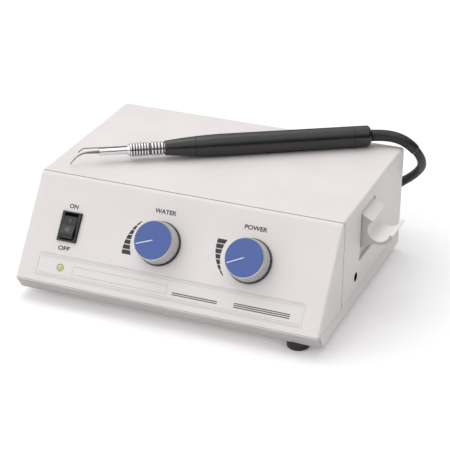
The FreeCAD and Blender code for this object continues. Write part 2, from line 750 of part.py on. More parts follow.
def cord_gland():
    """The flange, nut and tapered boot where the handpiece's cord enters the case."""
    x, z = GLAND_AT
    back = PANEL_BACK + 0.1
    flange = 2.4
    boot = turned([(0, 0), (9, 0), (9, flange), (6.2, flange), (4.0, GLAND_BACK - back), (0, GLAND_BACK - back)])
    boot.Placement = FreeCAD.Placement(V(x, back, z), FreeCAD.Rotation(Z, Y))
    boot = boot.fuse(rod(V(x, 172, z), Y, 5.5, back - 172 + 1))
    return boot.fuse(hex_nut(V(x, PANEL_Y - 4.1, z), Y, 15.0, 1.0, 4.0)).removeSplitter()


def wiring_harness():
    """The wires between the inlet, the switch, the transformer, the board and the lamp."""
    inlet_x, inlet_z = INLET_AT
    runs = [
        [(inlet_x - 7, 149, inlet_z - 2), (inlet_x - 9, 138, 46), (-92, 126, 68), (-98, 90, 69),
         (-99, 60, 60), (-88, 46, 45), (SWITCH_U, 44, 32)],
        [(inlet_x + 7, 149, inlet_z - 2), (inlet_x + 8, 140, 48), (-56, 128, 56), (-56, 122, 40)],
        [(-46, 122, 34), (-36, 130, 28), (-10, 132, 22), (10, 134, 12), (36, 134, 12), (44, 133, 22),
         (51, 133, 21)],
        [(POWER_U, 48, 24), (POWER_U - 2, 54, 21), (POWER_U + 1, 60, 24), (POWER_U + 2, 66, 19.5)],
        [(LAMP_U, 22.5, 16.2), (-70, 30, 14), (-30, 48, 12), (10, 58, 12), (38, 66, 16), (49, 76, 19.5)],
    ]
    return Part.Compound([tube([V(*p) for p in points], 0.9) for points in runs])


# ---- The cradle -----------------------------------------------------------------------------

CRADLE_PAD_X = HALF_W - 7.0
CRADLE_SCREW_Y = 98.0
CRADLE_SCREW_Z = (50.5, 68.0)


def handpiece_cradle():
    """A plate in the case's side with an open hook that the handpiece rests in."""
    outer = CRADLE_R + CRADLE_WALL
    centre = V(CRADLE_X, CRADLE_Y[0], CRADLE_Z)
    length = CRADLE_Y[1] - CRADLE_Y[0]
    plate_x = (HALF_W - RECESS_DEEP + 0.05, HALF_W - PLATE_SUNK)
    plate = box(plate_x, CRADLE_PLATE_Y, CRADLE_PLATE_Z)
    root = plate_x[1] - 0.3
    web = [(root, 71.8), (120.6, 66.8), (CRADLE_X, CRADLE_Z), (CRADLE_X - 2, CRADLE_Z - outer + 0.2),
           (root, 45.0)]
    points = [V(x, CRADLE_Y[0], z) for x, z in web]
    arm = Part.Face(Part.makePolygon(points + points[:1])).extrude(Y * length)
    hook = rod(centre, Y, outer, length)
    reach = 2 * outer
    mouth = [V(CRADLE_X, CRADLE_Y[0], CRADLE_Z)]
    for i in range(4):
        turn = math.radians(CRADLE_MOUTH[0] + i * (CRADLE_MOUTH[1] - CRADLE_MOUTH[0]) / 3)
        mouth.append(mouth[0] + V(reach * math.cos(turn), 0, reach * math.sin(turn)))
    opening = Part.Face(Part.makePolygon(mouth + mouth[:1])).extrude(Y * length)
    cradle = plate.fuse(arm).fuse(hook.cut(opening))
    cradle = cradle.cut(rod(centre, Y, CRADLE_R, length))
    for z in CRADLE_SCREW_Z:
        cradle = cradle.cut(rod(V(HALF_W - 6, CRADLE_SCREW_Y, z), X, 1.5, 7.0))
    return cradle.removeSplitter()


def cradle_screws():
    places = [V(CRADLE_PAD_X - 2.0, CRADLE_SCREW_Y, z) for z in CRADLE_SCREW_Z]
    return Part.Compound([screw(place, X, 2.8, 1.9, 1.4, 7.0) for place in places])


# ---- The handpiece --------------------------------------------------------------------------


def handpiece_block():
    """The black body's outer shape: a long arc from the nose to full width, then a taper."""
    end_round = 2.5
    sweep = (BARREL_FULL_AT**2 + (BARREL_R - NOSE_R) ** 2) / (2 * (BARREL_R - NOSE_R))
    halfway = BARREL_FULL_AT / 2
    middle_r = BARREL_R - sweep + math.sqrt(sweep**2 - halfway**2)
    front = V(NOSE_R, 0, 0)
    full = V(BARREL_R, 0, BARREL_FULL_AT)
    rim = V(TAIL_R, 0, HANDPIECE_END - end_round)
    back = V(TAIL_R - end_round, 0, HANDPIECE_END)
    lean = end_round * (1 - math.sqrt(0.5))
    corner = V(TAIL_R - lean, 0, HANDPIECE_END - lean)
    edges = [
        Part.LineSegment(V(0, 0, 0), front),
        Part.Arc(front, V(middle_r, 0, halfway), full),
        Part.LineSegment(full, rim),
        Part.Arc(rim, corner, back),
        Part.LineSegment(back, V(0, 0, HANDPIECE_END)),
        Part.LineSegment(V(0, 0, HANDPIECE_END), V(0, 0, 0)),
    ]
    outline = Part.Wire([edge.toShape() for edge in edges])
    return Part.Face(outline).revolve(V(0, 0, 0), Z, 360)


def handpiece_nose():
    nose = handpiece_block().common(slab(z=(0, NOSE_END - 0.1)))
    nose = nose.cut(rod(V(0, 0, -1), Z, INSERT_BORE_R, 40))
    return on_handpiece(nose.cut(rod(V(0, 0, 6), Z, 4.85, 30)))


def handpiece_barrel():
    barrel = handpiece_block().common(slab(z=(NOSE_END + 0.1, CAP_START - 0.1)))
    return on_handpiece(barrel.cut(rod(V(0, 0, 0), Z, 6.15, 150)))


def handpiece_end_cap():
    cap = handpiece_block().common(slab(z=(CAP_START + 0.1, 200)))
    return on_handpiece(cap.fuse(rod(V(0, 0, CAP_START - 8), Z, 6.1, 9)).removeSplitter())


def handpiece_liner():
    """The sealed sleeve that the insert slides into."""
    liner = ring(V(0, 0, 6.1), Z, 4.8, INSERT_BORE_R, 122)
    return on_handpiece(liner.fuse(rod(V(0, 0, 127), Z, 4.8, 1.5)).removeSplitter())


def drive_coil():
    return on_handpiece(ring(V(0, 0, 40), Z, 6.0, 4.85, 72))


# ---- The insert -----------------------------------------------------------------------------

SPIGOT_R = 3.9
SEAL_T = (11.0, 13.4)
SPIGOT_END = 25.0
STACK_END = 100.0
RIB_DEEP = 0.8
WATER_LINE_R = 0.4
WATER_LINE_OFF = TUBE_R + WATER_LINE_R + 0.1


def ribs(start, pitch, count):
    """The outline of that many round ribs, ahead of start, for a turned collar."""
    points = []
    for i in range(count):
        low = start + i * pitch
        points.append((COLLAR_R - RIB_DEEP, low))
        points.append((COLLAR_R, low + pitch * 0.12))
        points.append((COLLAR_R, low + pitch * 0.58))
        points.append((COLLAR_R - RIB_DEEP, low + pitch * 0.70))
    return points


def insert_body():
    """Two ribbed collars in front of the handpiece, and the spigot that carries the seal."""
    waist = -10.1
    outline = [(0, -27.0), (TUBE_R + 0.6, -27.0), (COLLAR_R - RIB_DEEP, -25.2)]
    outline += ribs(-25.0, 2.0, 7)
    outline += [(COLLAR_R - 0.9, waist - 0.6), (COLLAR_R - 0.9, waist)]
    outline += ribs(waist + 0.3, 2.3, 4)
    outline += [(COLLAR_R - RIB_DEEP, -0.35), (SPIGOT_R, -0.35)]
    outline += [(SPIGOT_R, SEAL_T[0]), (3.15, SEAL_T[0]), (3.15, SEAL_T[1]), (SPIGOT_R, SEAL_T[1])]
    outline += [(SPIGOT_R, SPIGOT_END), (0, SPIGOT_END)]
    body = turned(outline)
    body = body.cut(rod(V(0, 0, -28), Z, TUBE_R + 0.01, 8.0))
    body = body.cut(rod(V(0, WATER_LINE_OFF, -28), Z, WATER_LINE_R + 0.02, 3.0))
    return on_handpiece(body.cut(rod(V(0, 0, -28), Z, 1.11, 20)))


def insert_seal():
    """The rubber ring that holds the insert in the handpiece and lets it turn."""
    low = SEAL_T[0] + 0.15
    high = SEAL_T[1] - 0.15
    outline = [(3.2, low), (3.9, low), (4.2, low + 0.5), (4.2, high - 0.5), (3.9, high), (3.2, high)]
    return on_handpiece(turned(outline))


def insert_stack():
    """Thin nickel strips brazed together at both ends."""
    width = 5.6
    start = SPIGOT_END + 0.05
    stack = rod(V(0, 0, start), Z, 3.2, 4.0)
    for i in range(9):
        y = (i - 4) * 0.45
        stack = stack.fuse(box((-width / 2, width / 2), (y - 0.15, y + 0.15), (start + 3.5, STACK_END)))
    return on_handpiece(stack.fuse(box((-2.8, 2.8), (-2.0, 2.0), (STACK_END - 2, STACK_END))).removeSplitter())


def insert_tube():
    return on_handpiece(ring(V(0, 0, TUBE_FRONT), Z, TUBE_R, TUBE_R - 0.5, -20.05 - TUBE_FRONT))


TIP_SHOULDER_T = -56.0
TIP_BEND_T = -62.5
TIP_END_T = -68.0
TIP_REACH = 7.7
TIP_SIDE = 238.0  # the side that the tip curves to, in degrees from straight across the handpiece


def tip_middle(share):
    """The middle of the tip's thin end, from its shoulder (0) to its point (1), and its direction."""
    side = math.radians(TIP_SIDE)
    reach = V(math.cos(side), math.sin(side), 0) * TIP_REACH
    start = V(0, 0, TIP_SHOULDER_T + 1)
    bend = V(0, 0, TIP_BEND_T)
    end = reach + V(0, 0, TIP_END_T)
    middle = start * (1 - share) ** 2 + bend * (2 * share * (1 - share)) + end * share**2
    direction = (bend - start) * (1 - share) + (end - bend) * share
    return middle, direction


def scaler_tip():
    """A round steel shank whose thin end sweeps down and towards the front."""
    shank = turned([(0, TIP_SHOULDER_T), (0.8, TIP_SHOULDER_T), (1.1, -48.0), (1.1, -8.1), (0, -8.1)])
    sections = []
    steps = 8
    for i in range(steps + 1):
        middle, direction = tip_middle(i / steps)
        radius = 0.7 - 0.4 * i / steps
        sections.append(Part.Wire(Part.Circle(middle, direction, radius).toShape()))
    return on_handpiece(shank.fuse(Part.makeLoft(sections, True)))


def insert_water_line():
    """The fine steel tube that runs from the collar along the insert's tube to the tip."""
    low = WATER_LINE_OFF
    points = [V(0, low, -25.1), V(0, low, -45.0), V(0, low + 0.4, -58.4), V(0, 0.6, -61.8)]
    return on_handpiece(tube(points, WATER_LINE_R))


# ---- The cord -------------------------------------------------------------------------------


def cord_start():
    """The middle of the handpiece's back end."""
    along = handpiece_axes()[2]
    return HANDPIECE_FRONT + along * (HANDPIECE_END + 0.3)


def coil_point(angle, radius, z):
    turn = math.radians(angle)
    return V(COIL_AT[0] + radius * math.cos(turn), COIL_AT[1] + radius * math.sin(turn), z)


def report_cord(name, points, solid):
    """Prints a cord tube's radii and compares its volume with its section times its length."""
    radii = [bend_radius(a, b, c) for a, b, c in zip(points, points[1:], points[2:])]
    length = route(points).Length
    ideal = math.pi * CORD_R**2 * length
    print(name, "radii", [round(r, 1) for r in radii], "length", round(length, 1),
          "volume ratio", round(solid.Volume / ideal, 4))


def cord_to_coil():
    end = coil_point(COIL_ENTRY_ANGLE, COIL_OUTER_TURN, CORD_R + 0.1)
    points = [cord_start()] + [V(*p) for p in CORD_OUT] + [end]
    solid = tube(points, CORD_R)
    report_cord("cord_to_coil", points, solid)
    return solid


def cord_coil():
    """The outer shape of the coiled cord, two layers high."""
    top = 2 * CORD_R + COIL_LAYER + 0.2
    inner = COIL_INNER_TURN - CORD_R
    outer = COIL_OUTER_TURN + CORD_R + 0.2
    soft = 2.0
    outline = [(inner, soft), (inner + soft, 0.05), (outer - soft, 0.05), (outer, soft),
               (outer, top - soft), (outer - soft, top), (inner + soft, top), (inner, top - soft)]
    return turned(outline).translated(V(*COIL_AT, 0))


def cord_to_gland():
    start = coil_point(COIL_EXIT_ANGLE, COIL_OUTER_TURN, CORD_R + COIL_LAYER + 0.1)
    points = [start] + [V(*p) for p in CORD_IN] + [V(GLAND_AT[0], GLAND_BACK + 0.02, GLAND_AT[1])]
    solid = tube(points, CORD_R)
    report_cord("cord_to_gland", points, solid)
    return solid


def all_nodes():
    shell = case_block().cut(case_core(WALL))
    return {
        "base_tray": base_tray(shell),
        "top_cover": top_cover(shell),
        "front_bezel": front_bezel(shell),
        "label_strip": label_strip(),
        "rear_panel": rear_panel(),
        "rubber_feet": rubber_feet(),
        "foot_screws": foot_screws(),
        "cover_screws": cover_screws(),
        "panel_screws": panel_screws(),
        "switch_housing": switch_housing(),
        "switch_rocker": switch_rocker(),
        "power_lamp": power_lamp(),
        "water_knob_body": knob_body(WATER_U),
        "water_knob_cap": knob_cap(WATER_U),
        "water_knob_skirt": knob_skirt(WATER_U),
        "water_valve_stem": control_shaft(WATER_U, 15.0),
        "water_valve_nut": control_nut(WATER_U),
        "water_valve": water_valve(),
        "power_knob_body": knob_body(POWER_U),
        "power_knob_cap": knob_cap(POWER_U),
        "power_knob_skirt": knob_skirt(POWER_U),
        "potentiometer_shaft": control_shaft(POWER_U, 8.0),
        "potentiometer_nut": control_nut(POWER_U),
        "potentiometer": potentiometer(),
        "generator_board": generator_board(),
        "board_components": board_components(),
        "board_screws": board_screws(),
        "heat_sink": heat_sink(),
        "power_transistors": power_transistors(),
        "transformer_core": transformer_core(),
        "transformer_winding": transformer_winding(),
        "transformer_strap": transformer_strap(),
        "solenoid_valve": solenoid_valve(),
        "solenoid_coil": solenoid_coil(),
        "solenoid_plunger": solenoid_plunger(),
        "solenoid_spring": solenoid_spring(),
        "water_filter": water_filter(),
        "water_hoses": water_hoses(),
        "wiring_harness": wiring_harness(),
        "power_inlet": power_inlet(),
        "fuse_holder": fuse_holder(),
        "foot_switch_jack": foot_switch_jack(),
        "water_inlet": water_inlet(),
        "cord_gland": cord_gland(),
        "handpiece_cradle": handpiece_cradle(),
        "cradle_screws": cradle_screws(),
        "handpiece_barrel": handpiece_barrel(),
        "handpiece_nose": handpiece_nose(),
        "handpiece_end_cap": handpiece_end_cap(),
        "handpiece_liner": handpiece_liner(),
        "drive_coil": drive_coil(),
        "insert_body": insert_body(),
        "insert_seal": insert_seal(),
        "insert_stack": insert_stack(),
        "insert_tube": insert_tube(),
        "scaler_tip": scaler_tip(),
        "insert_water_line": insert_water_line(),
        "cord_to_coil": cord_to_coil(),
        "cord_coil": cord_coil(),
        "cord_to_gland": cord_to_gland(),
    }


# The row's origin is the bottom centre of everything but the cord: across from the case's left
# side to the cradle's outer edge, and back from the front edge to the end of the gland.
CRADLE_REACH = (CRADLE_R + CRADLE_WALL) * math.cos(math.radians(CRADLE_MOUTH[0]))
CENTRE_X = (CRADLE_X + CRADLE_REACH - HALF_W) / 2
ROW_SHIFT = V(-CENTRE_X, -GLAND_BACK / 2, 0)


def main():
    os.makedirs("parts", exist_ok=True)
    for name, shape in all_nodes().items():
        if not shape.isValid():
            print("not valid:", name)
        shape.translated(ROW_SHIFT).exportStep(f"parts/{name}.step")


main()
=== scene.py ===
"""Looks of the table-top ultrasonic scaler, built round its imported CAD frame.

The CAD model gives every rigid part. This script adds the camera, the cord on its whole route,
the prints and marks on the controls, the material of every part, the floor and the lights.
Points given in the case's own frame have x to the right from the case's middle, y to the back
from the lower edge of its sloping front, and z up from the table.
"""

import json
import math

import bmesh
import bpy
from mathutils import Matrix, Vector


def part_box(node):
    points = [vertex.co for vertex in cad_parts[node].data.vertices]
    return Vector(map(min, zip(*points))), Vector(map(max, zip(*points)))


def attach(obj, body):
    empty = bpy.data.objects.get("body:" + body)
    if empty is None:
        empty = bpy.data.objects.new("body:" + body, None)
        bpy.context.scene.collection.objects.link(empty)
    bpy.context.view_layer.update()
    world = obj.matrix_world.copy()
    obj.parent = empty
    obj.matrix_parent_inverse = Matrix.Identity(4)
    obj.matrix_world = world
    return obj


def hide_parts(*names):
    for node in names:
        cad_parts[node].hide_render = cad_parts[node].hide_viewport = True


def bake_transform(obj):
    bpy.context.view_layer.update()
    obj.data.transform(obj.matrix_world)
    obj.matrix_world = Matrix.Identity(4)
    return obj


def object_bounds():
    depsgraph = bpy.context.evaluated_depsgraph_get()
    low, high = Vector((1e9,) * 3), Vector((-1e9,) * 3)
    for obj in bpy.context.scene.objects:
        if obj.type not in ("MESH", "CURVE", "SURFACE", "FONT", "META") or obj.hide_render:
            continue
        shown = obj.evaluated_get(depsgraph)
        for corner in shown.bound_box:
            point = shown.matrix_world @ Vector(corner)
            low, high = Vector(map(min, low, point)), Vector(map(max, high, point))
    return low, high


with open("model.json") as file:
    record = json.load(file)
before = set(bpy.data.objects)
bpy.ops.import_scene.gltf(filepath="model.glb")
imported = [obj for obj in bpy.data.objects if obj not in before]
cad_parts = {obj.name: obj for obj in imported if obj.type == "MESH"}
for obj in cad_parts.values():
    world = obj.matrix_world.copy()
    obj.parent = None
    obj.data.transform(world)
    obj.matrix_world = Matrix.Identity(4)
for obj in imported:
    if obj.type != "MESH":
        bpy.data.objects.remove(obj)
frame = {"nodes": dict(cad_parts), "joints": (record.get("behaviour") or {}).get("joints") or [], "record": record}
CAD_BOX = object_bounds()

MM = 0.001
X = Vector((1, 0, 0))
Y = Vector((0, 1, 0))
Z = Vector((0, 0, 1))
JOINTS = {joint["name"]: joint for joint in frame["joints"]}

# The case's own frame, from its tray: the middle of its width, its front edge, and the table
TRAY_LOW, TRAY_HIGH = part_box("base_tray")
CASE_ORIGIN = Vector(((TRAY_LOW.x + TRAY_HIGH.x) / 2, TRAY_LOW.y, 0))

# The camera: its direction from the case, its roll, how far it stands from its target, the target
# in the case's own frame, and its lens in millimetres
CAMERA_AZIMUTH = math.radians(22.045)
CAMERA_ELEVATION = math.radians(25.263)
CAMERA_ROLL = math.radians(0.67)
CAMERA_DISTANCE = 1.11193
CAMERA_TARGET = (0.0094, 0.0900, 0.0405)
CAMERA_LENS = 123.95

# The sloping front, whose controls stand square to it. On it, u runs to the right from its middle
# and s up its slope from its lower edge.
FACE_OUT = -Vector(JOINTS["water_knob_turn"]["axis"]).normalized()
FACE_UP = FACE_OUT.cross(X)
FRONT_EDGE_Z = 15.7 * MM
PRINT_LIFT = 0.03 * MM
PRINT_THICK = 0.03 * MM
CONTROL_S = 42.5 * MM
SWITCH_U = -80.8 * MM
LABEL_HEIGHT = 3.1 * MM
LETTER_BOLD = 0.027
STRIP_U = (-98 * MM, 99 * MM)
STRIP_S = (5.3 * MM, 21.5 * MM)

# Places on the case whose colour differs from the rest of their part, and how far the middle of a
# face may lie off such a place. All but the inlet's pins are painted shade or painted light: painted
# shade on the chin, in the cover's gap, in the screw holes and on the cradle's plate, and painted
# light on the cradle's hook.
CHIN_DEPTH = 7.0 * MM
COVER_GAP = 0.6 * MM
COVER_GAP_Y = 46.0 * MM
COVER_GAP_TOP = 6 * MM
SCREW_HOLE_R = 3.4 * MM
PLATE_SUNK = 1.8 * MM
HOOK_INSET = 2 * MM
INLET_PINS_X = 9 * MM
INLET_PINS_Z = 7 * MM
INLET_PINS_DEPTH = 14 * MM
FACE_SLACK = 0.1 * MM

# The handpiece's axis, from the front of its black body to the cord
HANDPIECE_ALONG = -Vector(JOINTS["insert_turn"]["axis"]).normalized()
HANDPIECE_FRONT = Vector(JOINTS["insert_turn"]["pos_m"])
HANDPIECE_LENGTH = 151.5 * MM

# Where the insert's ribbed collars start on that axis, and a radius between grooves and ribs.
# The grooves inside that radius get painted shade.
COLLARS_FRONT = -25.3 * MM
GROOVE_R = 4.8 * MM

# The cord: its route over the case's edge and down behind it, its coil, and its way to the gland
CORD_RADIUS = 3.3 * MM
CORD_END_GAP = 0.3 * MM
CORD_OUT = [
    (0.0977, 0.1802, 0.0913),
    (0.1104, 0.1816, 0.0899),
    (0.1194, 0.1839, 0.0837),
    (0.1244, 0.1885, 0.0749),
    (0.1244, 0.1952, 0.0661),
    (0.1208, 0.2005, 0.0593),
    (0.1148, 0.2035, 0.0519),
    (0.1041, 0.2053, 0.0433),
    (0.0915, 0.2062, 0.0315),
    (0.0775, 0.2074, 0.0155),
    (0.0610, 0.2066, 0.0052),
    (0.0389, 0.2031, 0.0034),
]
CORD_IN = [
    (0.0525, 0.2430, 0.0102),
    (0.0525, 0.2313, 0.0153),
    (0.0525, 0.2230, 0.0249),
    (0.0525, 0.2114, 0.0300),
    (0.0525, 0.1985, 0.0300),
]
SLEEVE_LENGTH = 36 * MM
SLEEVE_THICK_R = 4.3 * MM
SLEEVE_THIN_R = 3.9 * MM

# The coil has two layers. It turns inwards on the table, climbs near its middle, and turns outwards
# on top. COIL_TURNED is all of its turning, and COIL_CLIMB is the part of it spent climbing.
COIL_AT = (0.0100, 0.2430)
COIL_OUTER_TURN = 45.0 * MM
COIL_INNER_TURN = 18.9 * MM
COIL_LOW_Z = 3.4 * MM
COIL_HIGH_Z = 10.15 * MM
COIL_START = math.radians(-78)
COIL_TURNED = math.radians(2784.4)
COIL_CLIMB = math.radians(180)
COIL_POINTS_PER_TURN = 20


def case_point(x, y, z):
    """A point given in the case's own frame."""
    return CASE_ORIGIN + Vector((x, y, z))


def smooth_step(share):
    """A share from 0 to 1 that starts and ends gently."""
    share = min(1.0, max(0.0, share))
    return share * share * (3 - 2 * share)


def new_piece(name, mesh, body, material):
    """A shown object that rides on a CAD body."""
    piece = bpy.data.objects.new(name, mesh)
    bpy.context.scene.collection.objects.link(piece)
    mesh.materials.clear()
    mesh.materials.append(material)
    if body:
        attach(piece, body)
    return piece


# ---- The camera -----------------------------------------------------------------------------


def make_camera():
    """The camera, at its place round the case, with the slight roll it was held at."""
    back = Vector((
        math.sin(CAMERA_AZIMUTH) * math.cos(CAMERA_ELEVATION),
        -math.cos(CAMERA_AZIMUTH) * math.cos(CAMERA_ELEVATION),
        math.sin(CAMERA_ELEVATION),
    ))
    level = Z.cross(back).normalized()
    upright = back.cross(level)
    right = level * math.cos(CAMERA_ROLL) + upright * math.sin(CAMERA_ROLL)
    up = back.cross(right)
    camera = bpy.data.objects.new("camera", bpy.data.cameras.new("camera"))
    bpy.context.scene.collection.objects.link(camera)
    camera.data.sensor_width = 36
    camera.data.lens = CAMERA_LENS
    camera.data.clip_start = 0.05
    camera.data.clip_end = 50
    place = Matrix((right, up, back)).transposed().to_4x4()
    place.translation = case_point(*CAMERA_TARGET) + back * CAMERA_DISTANCE
    camera.matrix_world = place
    bpy.context.scene.camera = camera


# ---- The cord -------------------------------------------------------------------------------


def coil_points():
    """The coil's control points: inwards on the table, up at its middle, and outwards on top."""
    count = round(COIL_TURNED / (2 * math.pi) * COIL_POINTS_PER_TURN)
    middle = COIL_TURNED / 2
    pitch = (COIL_OUTER_TURN - COIL_INNER_TURN) / middle
    # A spline runs inside its control points, so they stand a little further out
    outside = 1 / math.cos(COIL_TURNED / count / 2)
    points = []
    for i in range(count + 1):
        turned = COIL_TURNED * i / count
        radius = (COIL_INNER_TURN + pitch * abs(turned - middle)) * outside
        climbed = smooth_step((turned - middle) / COIL_CLIMB + 0.5)
        z = COIL_LOW_Z + (COIL_HIGH_Z - COIL_LOW_Z) * climbed
        angle = COIL_START - turned
        x = COIL_AT[0] + radius * math.cos(angle)
        y = COIL_AT[1] + radius * math.sin(angle)
        points.append(case_point(x, y, z))
    return points


def cord_centreline(points):
    """The points that a smooth spline over the route's control points runs through."""
    curve = bpy.data.curves.new("cord_route", "CURVE")
    curve.dimensions = "3D"
    spline = curve.splines.new("NURBS")
    spline.points.add(len(points) - 1)
    for control, point in zip(spline.points, points):
        control.co = (*point, 1)
    spline.order_u = 3
    spline.use_endpoint_u = True
    spline.resolution_u = 6
    holder = bpy.data.objects.new("cord_route", curve)
    line = bpy.data.meshes.new_from_object(holder)
    centres = [vertex.co.copy() for vertex in line.vertices]
    bpy.data.objects.remove(holder)
    bpy.data.meshes.remove(line)
    return centres


def tube_mesh(name, centres, radii, sides=16):
    """A closed round tube with those radii at its centres, with rings that don't twist."""
    mesh = bmesh.new()
    rings = []
    side = Z.cross(centres[1] - centres[0]).normalized()
    for i, centre in enumerate(centres):
        ahead = centres[min(i + 1, len(centres) - 1)] - centres[max(i - 1, 0)]
        ahead.normalize()
        side = (side - ahead * side.dot(ahead)).normalized()
        other = ahead.cross(side)
        ring = []
        for k in range(sides):
            turn = 2 * math.pi * k / sides
            offset = side * math.cos(turn) + other * math.sin(turn)
            ring.append(mesh.verts.new(centre + offset * radii[i]))
        rings.append(ring)
    for ring, following in zip(rings, rings[1:]):
        for k in range(sides):
            after = (k + 1) % sides
            mesh.faces.new((ring[k], ring[after], following[after], following[k]))
    mesh.faces.new(reversed(rings[0]))
    mesh.faces.new(rings[-1])
    for face in mesh.faces:
        face.smooth = len(face.verts) == 4
    result = bpy.data.meshes.new(name)
    mesh.to_mesh(result)
    mesh.free()
    return result


def make_sleeve(centres, material):
    """The tapered sleeve that guards the cord where it leaves the handpiece."""
    covered = [centres[0]]
    gone = [0.0]
    for before, after in zip(centres, centres[1:]):
        if gone[-1] > SLEEVE_LENGTH:
            break
        covered.append(after)
        gone.append(gone[-1] + (after - before).length)
    radii = [SLEEVE_THICK_R + (SLEEVE_THIN_R - SLEEVE_THICK_R) * along / gone[-1] for along in gone]
    radii[-1] = (SLEEVE_THIN_R + CORD_RADIUS) / 2
    tube = tube_mesh("cord_sleeve", covered, radii)
    return new_piece("cord_sleeve", tube, None, material)


def make_cord(material):
    """The cord, from the handpiece's end to its gland."""
    start = HANDPIECE_FRONT + HANDPIECE_ALONG * (HANDPIECE_LENGTH + CORD_END_GAP)
    points = [start]
    points += [case_point(*point) for point in CORD_OUT]
    points += coil_points()
    points += [case_point(*point) for point in CORD_IN]
    centres = cord_centreline(points)
    tube = tube_mesh("handpiece_cord", centres, [CORD_RADIUS] * len(centres))
    cord = new_piece("handpiece_cord", tube, None, material)
    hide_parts("cord_to_coil", "cord_coil", "cord_to_gland")
    sleeve = make_sleeve(centres, material)
    for piece in (cord, sleeve):
        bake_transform(piece)


# ---- Materials ------------------------------------------------------------------------------


class Nodes:
    """A material's node tree, with short ways to add and link its nodes."""

    def __init__(self, name):
        self.material = bpy.data.materials.new(name)
        self.material.use_nodes = True
        self.tree = self.material.node_tree
        self.shader = self.tree.nodes["Principled BSDF"]
        self.position = self.add("ShaderNodeTexCoord").outputs["Object"]

    def add(self, kind, **settings):
        node = self.tree.nodes.new(kind)
        for key, value in settings.items():
            setattr(node, key, value)
        return node

    def link(self, source, target):
        self.tree.links.new(source, target)

    def noise(self, feature, detail=2.0, roughness=0.5, at=None, dimensions="3D"):
        """Noise whose features are about that many metres across."""
        node = self.add("ShaderNodeTexNoise", noise_dimensions=dimensions)
        node.inputs["Scale"].default_value = 1 / feature
        node.inputs["Detail"].default_value = detail
        node.inputs["Roughness"].default_value = roughness
        if dimensions == "1D":
            self.link(at, node.inputs["W"])
        else:
            self.link(at or self.position, node.inputs["Vector"])
        return node.outputs["Fac"]

    def along(self, direction):
        """How far a point lies along a direction."""
        node = self.add("ShaderNodeVectorMath", operation="DOT_PRODUCT")
        self.link(self.position, node.inputs[0])
        node.inputs[1].default_value = direction
        return node.outputs["Value"]

    def flattened(self, direction):
        """A point's position without how far it lies along a direction."""
        node = self.add("ShaderNodeVectorMath", operation="PROJECT")
        self.link(self.position, node.inputs[0])
        node.inputs[1].default_value = direction
        rest = self.add("ShaderNodeVectorMath", operation="SUBTRACT")
        self.link(self.position, rest.inputs[0])
        self.link(node.outputs["Vector"], rest.inputs[1])
        return rest.outputs["Vector"]

    def spread(self, source, low, high, start=0.3, end=0.7):
        """A value moved from the range start to end into the range low to high."""
        node = self.add("ShaderNodeMapRange")
        self.link(source, node.inputs["Value"])
        node.inputs["From Min"].default_value = start
        node.inputs["From Max"].default_value = end
        node.inputs["To Min"].default_value = low
        node.inputs["To Max"].default_value = high
        return node.outputs["Result"]

    def mix(self, share, first, second):
        """Two colours mixed by a share. Each is a colour or another node's output."""
        node = self.add("ShaderNodeMix", data_type="RGBA")
        self.link(share, node.inputs[0])
        for socket, value in ((node.inputs[6], first), (node.inputs[7], second)):
            if isinstance(value, bpy.types.NodeSocket):
                self.link(value, socket)
            else:
                socket.default_value = (*value, 1)
        return node.outputs[2]

    def edges(self, radius):
        """The rounded normal near edges, and how strongly a point lies on an edge."""
        rounded = self.add("ShaderNodeBevel", samples=6)
        rounded.inputs["Radius"].default_value = radius
        flat = self.add("ShaderNodeNewGeometry")
        turned = self.add("ShaderNodeVectorMath", operation="DOT_PRODUCT")
        self.link(rounded.outputs["Normal"], turned.inputs[0])
        self.link(flat.outputs["Normal"], turned.inputs[1])
        return rounded.outputs["Normal"], self.spread(turned.outputs["Value"], 1, 0, 0.80, 0.99)

    def bump(self, height, distance, strength=1.0, normal=None):
        node = self.add("ShaderNodeBump")
        node.inputs["Strength"].default_value = strength
        node.inputs["Distance"].default_value = distance
        self.link(height, node.inputs["Height"])
        if normal:
            self.link(normal, node.inputs["Normal"])
        return node.outputs["Normal"]


def scaled(colour, factor):
    """A colour made that much brighter or darker."""
    return tuple(min(1.0, channel * factor) for channel in colour)


